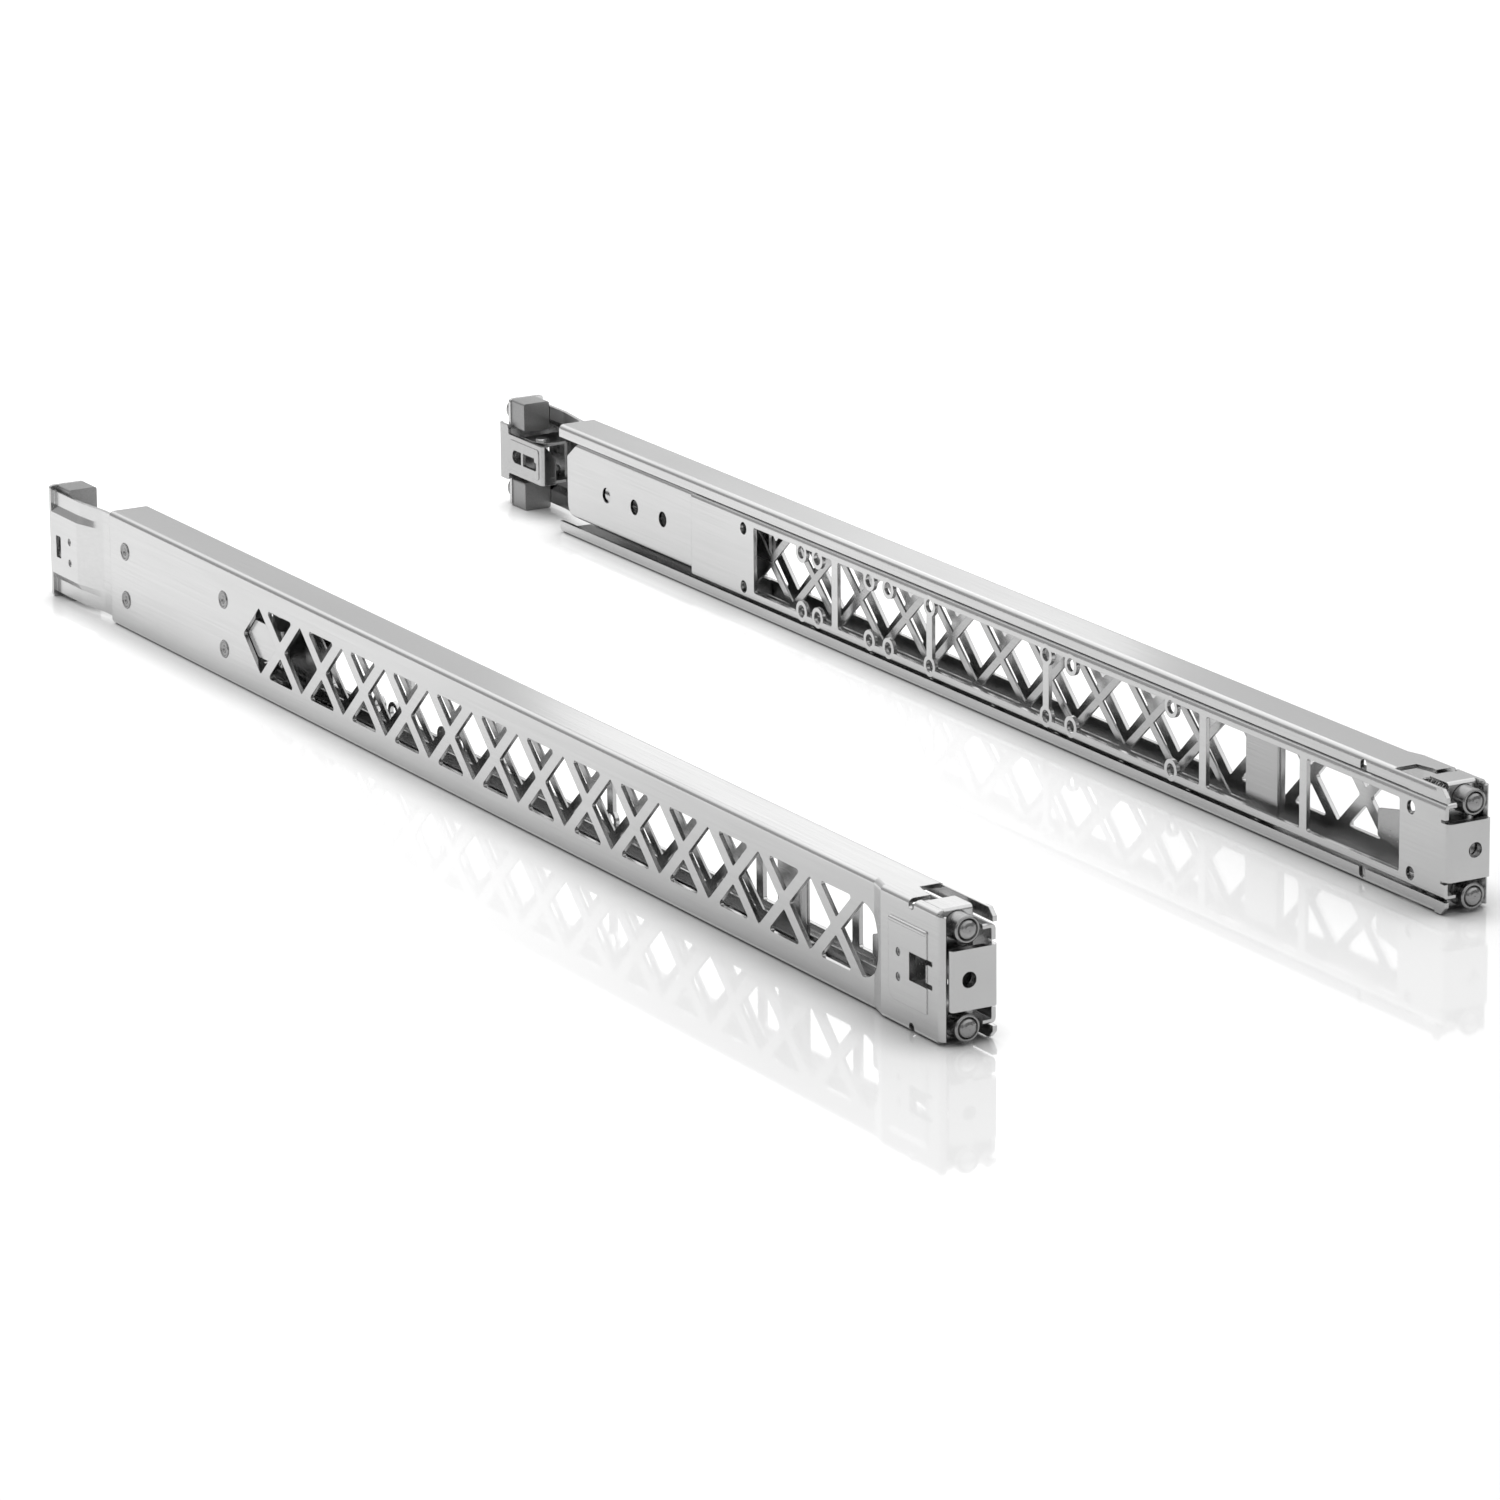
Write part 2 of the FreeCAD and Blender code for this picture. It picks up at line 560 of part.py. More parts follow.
def small_rivets(y, outer, inner):
    """Two rivets through two sheets, with a shallow dimple in each sunk head."""
    rivets = []
    for z in SMALL_RIVET_Z:
        head = outer + SMALL_RIVET_SUNK
        end = inner + SMALL_RIVET_CLENCH
        shank = rod(SMALL_RIVET_RADIUS, (head, y, z), (inner, y, z))
        clench = rod(SMALL_RIVET_RADIUS + SMALL_RIVET_CLENCH, (inner, y, z), (end, y, z))
        dimple = rod(DIMPLE_RADIUS, (outer, y, z), (head + SMALL_RIVET_SUNK, y, z))
        rivets.append(shank.fuse(clench).cut(dimple))
    return Part.makeCompound(rivets)


def front_posts():
    """Domed pins, each clenched in its ear."""
    ear = EAR_FRONT - PIN_TIP
    ear_rear = ear + CARRIER_SHEET
    dome = [(PIN_RADIUS - inward, back) for inward, back in PIN_DOME]
    tail = [(PIN_RADIUS, ear), (PIN_TAIL_RADIUS, ear), (PIN_TAIL_RADIUS, ear_rear),
            (PIN_TAIL_RADIUS + CLENCH, ear_rear), (PIN_TAIL_RADIUS + 0.2, ear_rear + CLENCH),
            (0, ear_rear + CLENCH)]
    profile = [(0, 0)] + dome + tail
    return Part.makeCompound([turned(profile, (POST_X, PIN_TIP, z), Y_AXIS) for z in POSTS_Z])


def collar_front():
    """The sleeve's collar rests behind the front plate, clear of its bends."""
    return CARRIER_FRONT + CARRIER_SHEET + BEND + SNUG


def sleeve(z):
    """Spring-loaded sleeve that fills a square hole and draws back for a round one."""
    bore = PIN_RADIUS + RUNNING
    collar = collar_front() - SLEEVE_FRONT
    end = collar + COLLAR_LENGTH
    plate = CARRIER_FRONT - SLEEVE_FRONT - SNUG
    neck = SLEEVE_RADIUS - NECK_DEPTH
    profile = [(bore, MOUTH_DEPTH), (bore + MOUTH_WIDTH, 0),
               (SLEEVE_RADIUS - SLEEVE_CHAMFER, 0), (SLEEVE_RADIUS, SLEEVE_CHAMFER),
               (SLEEVE_RADIUS, plate), (neck, plate + NECK_DEPTH), (neck, collar),
               (COLLAR_RADIUS, collar), (COLLAR_RADIUS, end), (bore, end)]
    tube = turned(profile, (POST_X, SLEEVE_FRONT, z), Y_AXIS)
    room = HEIGHT - CARRIER_SHEET - RUNNING
    return tube.common(box(0, WIDTH, -10, 30, HEIGHT - room, room))


def sleeve_spring(z):
    """Compression spring between the sleeve's collar and the ear behind it."""
    end_room = SPRING_WIRE + SNUG
    start = collar_front() + COLLAR_LENGTH + end_room
    length = EAR_FRONT - end_room - start
    mean_radius = PIN_RADIUS + SPRING_WIRE + GAP
    return coil((POST_X, start, z), Y_AXIS, mean_radius, SPRING_WIRE, length, 4)


def front_latch():
    """Lever with a nose that hooks the rack column, a knuckle and a tapered tail."""
    x0 = LATCH_X - LATCH_SHEET / 2
    x1 = x0 + LATCH_SHEET
    half = KNUCKLE_HALF
    shoulder = LATCH_Y + 4
    tail = prism([(LATCH_Y, MID - half), (shoulder, MID - half - 0.2), (TAIL_WAIST, MID - 11.9),
                  (TAIL_REAR, MID - 9.3), (TAIL_REAR, MID + 0.3), (TAIL_WAIST, MID + 4),
                  (shoulder, MID + half + 0.2), (LATCH_Y, MID + half)],
                 "yz", x0, x1, [0, 0, 3, 1, 1, 3, 0, 0])
    nose = box(x0, x1, NOSE_FRONT, LATCH_Y, MID - NOSE_HALF, MID + NOSE_HALF)
    neck = box(x0, x1, LATCH_Y - 4, LATCH_Y, MID - half, MID + half)
    barb_rear = NOSE_FRONT + BARB_LENGTH
    barb = prism([(x0, NOSE_FRONT), (x0, barb_rear), (x0 - BARB_DEPTH, barb_rear),
                  (x0 - 0.9, NOSE_FRONT)], "xy", MID - NOSE_HALF, MID + NOSE_HALF)
    knuckle = rod(KNUCKLE_RADIUS, (LATCH_X, LATCH_Y, MID - half), (LATCH_X, LATCH_Y, MID + half))
    lever = tail.fuse([nose, neck, barb, knuckle])
    room = KNUCKLE_RADIUS + 0.5
    spring_room = box(LATCH_X - 3, LATCH_X + 3, LATCH_Y - room, LATCH_Y + room, MID - 2.6, MID + 2.6)
    return lever.cut([spring_room, upright_bore(LATCH_PIN_RADIUS, LATCH_X, LATCH_Y)])


def front_latch_pin():
    """Pin through the two lugs, clenched at both ends."""
    low = LUG_LOW
    high = HEIGHT - low
    r = LATCH_PIN_RADIUS
    head = r + PIN_CLENCH
    return turned([(0, low - PIN_CLENCH), (head, low - PIN_CLENCH), (head, low), (r, low),
                   (r, high), (head, high), (head, high + PIN_CLENCH), (0, high + PIN_CLENCH)],
                  (LATCH_X, LATCH_Y, 0), Z_AXIS)


def torsion_spring(x, y, mean_radius, wire, length, turns, near, far):
    """Coil round an upright pin, with one straight leg to each of two points."""
    low = MID - length / 2
    spring = coil((x, y, low), Z_AXIS, mean_radius, wire, length, turns)
    start = (x + mean_radius, y, low)
    end = (x + mean_radius, y, low + length)
    return spring.fuse([rod(wire, start, (near[0], near[1], low)),
                        rod(wire, end, (far[0], far[1], low + length))])


def front_latch_spring():
    return torsion_spring(LATCH_X, LATCH_Y, mean_radius=1.75, wire=0.28, length=4.0, turns=3.0,
                          near=(LATCH_X + 0.9, LATCH_Y + 6), far=(LATCH_X + 1.4, LATCH_Y - 5))


# ---------------------------------------------------------------- sliding member
def member_section():
    low = MID - MEMBER_HEIGHT / 2
    high = MID + MEMBER_HEIGHT / 2
    reach = WIDTH - MEMBER_FLANGE
    return strip([(reach, low), (WIDTH, low), (WIDTH, high), (reach, high)], SHEET, MEMBER_BEND)


def sliding_member():
    points, radii = member_section()
    body = prism(points, "xz", MEMBER_FRONT, MEMBER_REAR, radii)
    low = MID - MEMBER_WINDOW / 2
    high = MID + MEMBER_WINDOW / 2
    starts = [END_PLATE_REAR] + [y + width / 2 for y, width in BARS]
    ends = [y - width / 2 for y, width in BARS] + [REAR_PLATE_FRONT]
    windows = []
    for start, end in zip(starts, ends):
        windows.append(prism([(start, low), (end, low), (end, high), (start, high)], "yz",
                             WIDTH - SHEET - PAST, WIDTH + PAST, MEMBER_WINDOW_CORNER))
    web = WIDTH - SHEET
    hole_levels = [MEMBER_HOLE_Z - MEMBER_HOLE_SPACING / 2, MEMBER_HOLE_Z + MEMBER_HOLE_SPACING / 2]
    bosses = [rod(BOSS_RADIUS, (web, y, z), (WIDTH, y, z)) for y in BOSSES for z in hole_levels]
    holes = [rod(MEMBER_HOLE_RADIUS, (web - PAST, y, z), (WIDTH + PAST, y, z))
             for y in BOSSES + PLATE_HOLES for z in hole_levels]
    edge = MID + MEMBER_HEIGHT / 2
    corner_cut = prism([(MEMBER_FRONT - PAST, edge - MEMBER_CHAMFER - PAST),
                        (MEMBER_FRONT + MEMBER_CHAMFER + PAST, edge + PAST),
                        (MEMBER_FRONT - PAST, edge + PAST)], "yz",
                       WIDTH - MEMBER_FLANGE - PAST, WIDTH + PAST)
    frame = body.cut(windows + both_edges(corner_cut)).fuse(bosses)

    tab_low = MID - TAB_HEIGHT / 2
    tab_high = MID + TAB_HEIGHT / 2
    front = bent([(TAB_OUTER + SHEET, TAB_FRONT), (WIDTH, TAB_FRONT), (WIDTH, 1)], SHEET, "xy",
                 tab_low, tab_high)
    hem_end = TAB_OUTER + HEM_LENGTH
    hem_rear = TAB_FRONT + 2 * SHEET
    hem = prism([(TAB_OUTER, TAB_FRONT), (hem_end, TAB_FRONT), (hem_end, hem_rear),
                 (TAB_OUTER, hem_rear)], "xy", tab_low, tab_high, [HEM_CORNER, 0, 0.4, HEM_CORNER])
    relief = box(web - PAST, WIDTH + PAST, TAB_FRONT - PAST, TAB_RELIEF_REAR,
                 tab_high, tab_high + TAB_RELIEF)
    bore = rod(TAB_HOLE_RADIUS, (POST_X, TAB_FRONT - PAST, MID), (POST_X, hem_rear + PAST, MID))
    return frame.fuse([front, hem]).cut(holes + [bore] + both_edges(relief))


# ---------------------------------------------------------------- ball retainer
def ball_levels():
    race = MID + MEMBER_HEIGHT / 2
    high = (race + HEIGHT - SHEET) / 2
    return (HEIGHT - high, high)


def cage_x():
    """Outer face of the cage's web, which clears the member's races."""
    return WIDTH - MEMBER_FLANGE - CAGE_SHEET - CAGE_ROOM


def ball_x():
    return WIDTH - SHEET - BALL_RADIUS - BALL_ROOM


def ball_spots():
    return [(ball_x(), BALL_FIRST + n * BALL_PITCH, z)
            for n in range(BALL_COUNT) for z in ball_levels()]


def cage_windows():
    """Openings between the crossings of the cage's lattice."""
    slope = math.tan(math.radians(CROSS_ANGLE))
    beside = CROSS_BAR / 2 / math.sin(math.radians(CROSS_ANGLE))
    above = CROSS_BAR / 2 / math.cos(math.radians(CROSS_ANGLE))
    half_width = TRUSS_PITCH / 2 - beside
    half_height = half_width * slope
    half_base = (CROSS_HALF - above) / slope
    x0 = cage_x() - PAST
    x1 = cage_x() + CAGE_SHEET + PAST
    windows = []
    for n in range(CROSS_COUNT):
        crossing = CROSS_REAR - n * TRUSS_PITCH
        for way in (1, -1):
            triangle = [(crossing, MID + way * above),
                        (crossing + half_base, MID + way * CROSS_HALF),
                        (crossing - half_base, MID + way * CROSS_HALF)]
            windows.append(prism(triangle, "yz", x0, x1))
        if n < CROSS_COUNT - 1:
            y = crossing - TRUSS_PITCH / 2
            windows.append(prism([(y + half_width, MID), (y, MID + half_height),
                                  (y - half_width, MID), (y, MID - half_height)], "yz", x0, x1))
        else:
            tip = crossing - beside
            shoulder = tip - CROSS_HALF / slope
            windows.append(prism([(tip, MID), (shoulder, MID + CROSS_HALF),
                                  (BRIDGE_REAR, MID + CROSS_HALF), (BRIDGE_REAR, MID - CROSS_HALF),
                                  (shoulder, MID - CROSS_HALF)], "yz", x0, x1))
    return windows


def ball_retainer():
    low, high = ball_levels()
    x = cage_x()
    reach = ball_x() + BALL_RADIUS + CAGE_REACH
    body = bent([(reach, high + CAGE_SHEET / 2), (x, high + CAGE_SHEET / 2),
                 (x, low - CAGE_SHEET / 2), (reach, low - CAGE_SHEET / 2)], CAGE_SHEET, "xz",
                CAGE_FRONT, CAGE_REAR, CAGE_BEND)
    apron = bent([(x - APRON_DEPTH, CAGE_FRONT), (x + CAGE_SHEET, CAGE_FRONT),
                  (x + CAGE_SHEET, CAGE_FRONT + APRON_LENGTH)], CAGE_SHEET, "xy",
                 MID - CROSS_HALF, MID + CROSS_HALF, APRON_BEND)
    pockets = [rod(BALL_RADIUS + POCKET_ROOM, (bx, y, z - PAST), (bx, y, z + PAST))
               for bx, y, z in ball_spots()]
    return body.fuse(apron).cut(cage_windows() + pockets)


def bearing_balls():
    return Part.makeCompound([Part.makeSphere(BALL_RADIUS, V(*spot)) for spot in ball_spots()])


# ---------------------------------------------------------------- rear guide
def foot_x():
    """Outer face of the guide's feet, which leaves room for the bracket's tail."""
    return SHEET + GAP + BRACKET_SHEET + GAP


def rear_guide():
    x0 = foot_x()
    x1 = WIDTH - SHEET
    body = bent([(x0, GUIDE_BOTTOM + GUIDE_FOOT), (x0, GUIDE_BOTTOM), (x1, GUIDE_BOTTOM),
                 (x1, GUIDE_TOP), (x0, GUIDE_TOP), (x0, GUIDE_TOP - GUIDE_FOOT)],
                GUIDE_SHEET, "xz", GUIDE_FRONT, GUIDE_REAR, GUIDE_BEND)
    slope_front = GUIDE_REAR - GUIDE_SLOPE_LENGTH
    slope_low = GUIDE_TOP - GUIDE_SLOPE_DROP
    top_cut = prism([(slope_front, GUIDE_TOP + PAST), (slope_front, GUIDE_TOP),
                     (GUIDE_REAR, slope_low), (GUIDE_REAR + PAST, slope_low),
                     (GUIDE_REAR + PAST, GUIDE_TOP + PAST)], "yz", x0 - PAST, x1 + PAST)
    keep = prism([(GUIDE_FRONT - PAST, GUIDE_BOTTOM), (GUIDE_REAR, GUIDE_BOTTOM),
                  (GUIDE_REAR, GUIDE_TOP + PAST), (GUIDE_FRONT - PAST, GUIDE_TOP + PAST)], "yz",
                 x0 - PAST, x1 + PAST, [0, GUIDE_CORNER, 0, 0])
    cuts = [top_cut]
    for n in (-1, 0, 1):
        y = GUIDE_HOLE_Y + n * GUIDE_HOLE_SPACING
        cuts.append(rod(GUIDE_HOLE_RADIUS, (x1 - GUIDE_SHEET - PAST, y, GUIDE_HOLE_Z),
                        (x1 + PAST, y, GUIDE_HOLE_Z)))
    for y in GUIDE_RIVET_Y:
        for z in GUIDE_RIVET_Z:
            cuts.append(rod(RIVET_TAIL_RADIUS + RUNNING, (x0 - PAST, y, z),
                            (x0 + GUIDE_SHEET + PAST, y, z)))
    return body.common(keep).cut(cuts)


def guide_rivets():
    """Shouldered rivets: head outside, shoulder between web and foot, clench inside."""
    x0 = foot_x()
    x1 = x0 + GUIDE_SHEET
    clench = RIVET_TAIL_RADIUS + RIVET_CLENCH
    profile = list(RIVET_HEAD_DOME)
    profile += [(RIVET_HEAD_RADIUS, 0), (RIVET_NECK_RADIUS, 0), (RIVET_NECK_RADIUS, SHEET),
                (RIVET_SHOULDER_RADIUS, SHEET), (RIVET_SHOULDER_RADIUS, x0),
                (RIVET_TAIL_RADIUS, x0), (RIVET_TAIL_RADIUS, x1), (clench, x1),
                (clench, x1 + 0.8), (0, x1 + 0.8)]
    return Part.makeCompound([turned(profile, (0, y, z), X_AXIS)
                              for y in GUIDE_RIVET_Y for z in GUIDE_RIVET_Z])


# ---------------------------------------------------------------- rear end
def bracket_section(band, centre, y):
    """Height profile of the bracket: recessed bands above and below a raised panel."""
    high = BRACKET_TOP - BAND_HEIGHT
    low = BRACKET_BOTTOM + BAND_HEIGHT
    path = [(band, BRACKET_TOP), (band, high), (centre, high - BAND_SLOPE),
            (centre, low + BAND_SLOPE), (band, low), (band, BRACKET_BOTTOM)]
    inner = [(x + BRACKET_SHEET, z) for x, z in reversed(path)]
    return outline(path + inner, "xz", y)


def rear_bracket():
    tail_x = SHEET + GAP
    tail = box(tail_x, tail_x + BRACKET_SHEET, TAIL_FRONT, JOGGLE_FRONT,
               BRACKET_BOTTOM, BRACKET_TOP)
    flat = bracket_section(tail_x, tail_x, JOGGLE_FRONT)
    full = bracket_section(BAND_X, -BULGE, JOGGLE_REAR)
    joggle = Part.makeLoft([flat, full], True, True)
    panel = Part.Face(full).extrude(Y_AXIS * (FLANGE_Y - JOGGLE_REAR))
    flange = prism([(-BULGE, 0), (FLANGE_INNER, 0), (FLANGE_INNER, HEIGHT), (-BULGE, HEIGHT)],
                   "xz", FLANGE_Y, FLANGE_Y + FLANGE_SHEET, FLANGE_CORNER)
    bracket = tail.fuse([joggle, panel, flange])
    cuts = []
    end = SLOT_REAR - SLOT_RADIUS
    x0 = tail_x - PAST
    x1 = tail_x + BRACKET_SHEET + PAST
    for z in GUIDE_RIVET_Z:
        cuts.append(box(x0, x1, TAIL_FRONT - PAST, end, z - SLOT_RADIUS, z + SLOT_RADIUS))
        cuts.append(rod(SLOT_RADIUS, (x0, end, z), (x1, end, z)))
    for z in POSTS_Z:
        cuts.append(rod(STUD_RADIUS + RUNNING, (REAR_POST_X, FLANGE_Y - PAST, z),
                        (REAR_POST_X, FLANGE_Y + FLANGE_SHEET + PAST, z)))
    for z in SMALL_RIVET_Z:
        cuts.append(rod(SMALL_RIVET_RADIUS + RUNNING, (-BULGE - PAST, REAR_RIVET_Y, z),
                        (-BULGE + BRACKET_SHEET + PAST, REAR_RIVET_Y, z)))
    slot_rear = BRACKET_SLOT_FRONT + BRACKET_SLOT_LENGTH
    cuts.append(prism([(BRACKET_SLOT_FRONT, BRACKET_SLOT_BOTTOM), (slot_rear, BRACKET_SLOT_BOTTOM),
                       (slot_rear, BRACKET_SLOT_TOP), (BRACKET_SLOT_FRONT, BRACKET_SLOT_TOP)],
                      "yz", -BULGE - PAST, -BULGE + BRACKET_SHEET + PAST, BRACKET_SLOT_CORNER))
    return bracket.cut(cuts)


def rear_posts():
    """Square blocks on the flange, each with a domed stud that goes through it."""
    half = BLOCK / 2
    neck = STUD_RADIUS - NECK_DEPTH
    base = FLANGE_Y - STUD_ROOT
    outside = FLANGE_Y + FLANGE_SHEET + SNUG
    dome = [(STUD_RADIUS - inward, STUD_TIP - back) for inward, back in STUD_DOME]
    profile = [(0, base), (neck, base), (neck, outside - NECK_DEPTH), (STUD_RADIUS, outside)]
    profile += dome + [(0, STUD_TIP)]
    posts = []
    for z in POSTS_Z:
        block = prism([(REAR_POST_X - half, z - half), (REAR_POST_X + half, z - half),
                       (REAR_POST_X + half, z + half), (REAR_POST_X - half, z + half)], "xz",
                      BLOCK_FRONT, FLANGE_Y, BLOCK_CORNER)
        posts.append(block.fuse(turned(profile, (REAR_POST_X, 0, z), Y_AXIS)))
    return Part.makeCompound(posts)


def hinge_bracket():
    """U-shaped sheet riveted to the panel; its ears hold the latch pin."""
    leg_x = -BULGE + BRACKET_SHEET
    leg_front = JOGGLE_REAR + ROOM
    top = HINGE_TOP
    bottom = HEIGHT - top
    leg = prism([(leg_front, bottom), (HINGE_LEG_REAR, bottom), (HINGE_LEG_REAR, top),
                 (leg_front, top)], "yz", leg_x, leg_x + HINGE_SHEET)
    ear_end = CATCH_X - CATCH_SHEET - GAP
    ear = prism([(leg_x, leg_front), (1.6, HINGE_EAR_FRONT), (HINGE_X + 1.95, HINGE_EAR_FRONT),
                 (ear_end, HINGE_Y - 0.2), (ear_end, HINGE_EAR_REAR), (leg_x, HINGE_EAR_REAR)],
                "xy", top - HINGE_SHEET, top, [0, 0, 1.5, 1.5, 2.0, 0])
    cuts = [upright_bore(HINGE_PIN_RADIUS, HINGE_X, HINGE_Y)]
    for z in SMALL_RIVET_Z:
        cuts.append(rod(SMALL_RIVET_RADIUS + RUNNING, (leg_x - PAST, REAR_RIVET_Y, z),
                        (leg_x + HINGE_SHEET + PAST, REAR_RIVET_Y, z)))
    return leg.fuse(both_edges(ear)).cut(cuts)


def rear_latch():
    """Plate with a finger tab in front, a hook behind the rack column and two pin ears."""
    inner = CATCH_X - CATCH_SHEET
    body = bent([(CATCH_X - FINGER_REACH, CATCH_FRONT), (CATCH_X, CATCH_FRONT),
                 (CATCH_X, CATCH_REAR), (CATCH_X - HOOK_REACH, CATCH_REAR)],
                CATCH_SHEET, "xy", HOOK_BOTTOM, HOOK_TOP)
    front = CATCH_FRONT - PAST
    rear = CATCH_REAR + PAST
    shape = prism([(front, CATCH_BOTTOM), (CATCH_STEP, CATCH_BOTTOM), (CATCH_STEP, HOOK_BOTTOM),
                   (rear, HOOK_BOTTOM), (rear, HOOK_TOP), (CATCH_STEP, HOOK_TOP),
                   (CATCH_STEP, CATCH_TOP), (front, CATCH_TOP)], "yz", 0, WIDTH,
                  [0, CATCH_CORNER, STEP_CORNER, 0, 0, STEP_CORNER, CATCH_CORNER, 0])
    body = body.common(shape)
    field_front = CATCH_FRONT + RAISED_FRONT
    field_rear = CATCH_STEP - RAISED_REAR
    field_low = CATCH_BOTTOM + RAISED_EDGE
    field_high = CATCH_TOP - RAISED_EDGE
    raised = prism([(field_front, field_low), (field_rear, field_low), (field_rear, field_high),
                    (field_front, field_high)], "yz", CATCH_X - 0.1, CATCH_X + RAISED_RELIEF, 1.5)
    ear = prism([(inner + 0.3, HINGE_Y - 4), (inner + 0.3, HINGE_Y + 5),
                 (HINGE_X - 2.7, HINGE_Y + 2.7), (HINGE_X - 2.7, HINGE_Y - 2.7)], "xy",
                CATCH_EAR_Z, CATCH_EAR_Z + CATCH_EAR_SHEET, [0, 0, 2.2, 2.2])
    catch = body.fuse([raised] + both_edges(ear))

    finger_end = CATCH_X - FINGER_REACH - 0.5
    finger_top = CATCH_X - 1.7
    finger_cut = prism([(finger_end, CATCH_TOP - FINGER_SLOPE), (finger_top, CATCH_TOP),
                        (finger_top, HOOK_TOP + PAST), (finger_end, HOOK_TOP + PAST)],
                       "xz", front, CATCH_FRONT + CATCH_SHEET + 0.3)
    low = MID - SLOT_HALF
    high = MID + SLOT_HALF
    step = SLOT_FRONT + SLOT_STEP
    slot = prism([(SLOT_FRONT, low), (SLOT_DIVIDER, low), (SLOT_DIVIDER, high), (step, high),
                  (step, high - SLOT_STEP), (SLOT_FRONT, high - SLOT_STEP)], "yz",
                 inner - PAST, CATCH_X + PAST, [1.2] + [SLOT_CORNER] * 5)
    rear_start = SLOT_DIVIDER + DIVIDER_WIDTH
    rear_end = rear_start + SLOT_REAR_LENGTH
    slot_rear = prism([(rear_start, low), (rear_end, low), (rear_end, high), (rear_start, high)],
                      "yz", inner - PAST, CATCH_X + PAST, [SLOT_CORNER, 2.4, 2.4, SLOT_CORNER])
    hook_cut = box(CATCH_X - HOOK_REACH - PAST, inner - BEND, CATCH_REAR - 2, rear,
                   HOOK_TOP - 2, HOOK_TOP + PAST)
    bore = upright_bore(HINGE_PIN_RADIUS, HINGE_X, HINGE_Y)
    return catch.cut([finger_cut, slot, slot_rear, bore] + both_edges(hook_cut))


def rear_latch_pin():
    """Headed pin through the hinge bracket's ears, clenched below."""
    low = HEIGHT - HINGE_TOP
    high = HINGE_TOP
    r = HINGE_PIN_RADIUS
    return turned([(0, low - 0.6), (r + PIN_CLENCH, low - 0.6), (r + PIN_CLENCH, low), (r, low),
                   (r, high), (r + 0.8, high), (r + PIN_CLENCH, high + 0.7), (0, high + 0.7)],
                  (HINGE_X, HINGE_Y, 0), Z_AXIS)


def rear_latch_spring():
    leg_end = HINGE_Y + 9
    return torsion_spring(HINGE_X, HINGE_Y, mean_radius=2.2, wire=SPRING_WIRE, length=8.0, turns=4.0,
                          near=(CATCH_X - CATCH_SHEET - 0.6, leg_end), far=(HINGE_X - 3, leg_end))


# ---------------------------------------------------------------- the pair
def rail():
    """Every piece of one rail, by name."""
    carrier_inner = LEG_X + CARRIER_SHEET
    hinge_inner = -BULGE + BRACKET_SHEET + HINGE_SHEET
    return {
        "outer_channel": outer_channel(),
        "front_post_carrier": front_post_carrier(),
        "carrier_rivets": small_rivets(FRONT_RIVET_Y, -BULGE - 0.3, carrier_inner),
        "front_post_pins": front_posts(),
        "front_sleeve_bottom": sleeve(POSTS_Z[0]),
        "front_sleeve_top": sleeve(POSTS_Z[1]),
        "sleeve_spring_bottom": sleeve_spring(POSTS_Z[0]),
        "sleeve_spring_top": sleeve_spring(POSTS_Z[1]),
        "front_latch": front_latch(),
        "front_latch_pin": front_latch_pin(),
        "front_latch_spring": front_latch_spring(),
        "sliding_member": sliding_member(),
        "ball_retainer": ball_retainer(),
        "bearing_balls": bearing_balls(),
        "rear_guide": rear_guide(),
        "guide_rivets": guide_rivets(),
        "rear_bracket": rear_bracket(),
        "rear_posts": rear_posts(),
        "rear_hinge_bracket": hinge_bracket(),
        "hinge_bracket_rivets": small_rivets(REAR_RIVET_Y, -BULGE, hinge_inner),
        "rear_latch": rear_latch(),
        "rear_latch_pin": rear_latch_pin(),
        "rear_latch_spring": rear_latch_spring(),
    }


def place(shape, side):
    """Set a piece of the left rail, or of its mirror image, in the pair's frame."""
    moved = shape.copy()
    moved.translate(V(-PAIR_WIDTH / 2, -CENTRE_Y, 0))
    if side == "right":
        moved = moved.mirror(V(0, 0, 0), X_AXIS)
        moved.translate(V(0, SET_BACK, 0))
    return moved


os.makedirs("parts", exist_ok=True)
for name, shape in rail().items():
    for side in ("left", "right"):
        place(shape, side).exportStep(f"parts/{side}_{name}.step")
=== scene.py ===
import json
import math

import bpy
from mathutils import Matrix, Vector


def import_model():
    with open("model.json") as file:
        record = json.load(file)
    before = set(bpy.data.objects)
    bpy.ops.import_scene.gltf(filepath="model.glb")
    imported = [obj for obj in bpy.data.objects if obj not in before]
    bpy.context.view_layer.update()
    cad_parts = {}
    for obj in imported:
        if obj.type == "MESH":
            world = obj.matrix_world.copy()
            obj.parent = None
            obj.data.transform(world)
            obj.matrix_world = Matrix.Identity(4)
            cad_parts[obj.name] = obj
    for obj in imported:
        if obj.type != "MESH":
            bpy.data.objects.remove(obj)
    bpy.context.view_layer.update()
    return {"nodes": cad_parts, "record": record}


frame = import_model()

nodes = frame["nodes"]

# ---- steels: lengths are metres, tones and levels of light are shares of white ----
EDGE_RADIUS = 0.00035
EDGE_SAMPLES = 4
NOISE_SPAN = (0.3, 0.7)
NOISE_ROUGHNESS = 0.6
NOISE_DETAIL = 2.0
GLOSS_SPREAD = 0.1
CLEAR = 0.02
FAINT = 0.01

# The noise scale along each axis: a small one draws the noise out into streaks.
CLOUDS = (30.0, 8.0, 30.0)
ALONG_Y = (2200.0, 20.0, 2200.0)
ALONG_X = (60.0, 1500.0, 1500.0)
EVEN = (1800.0, 1800.0, 1800.0)

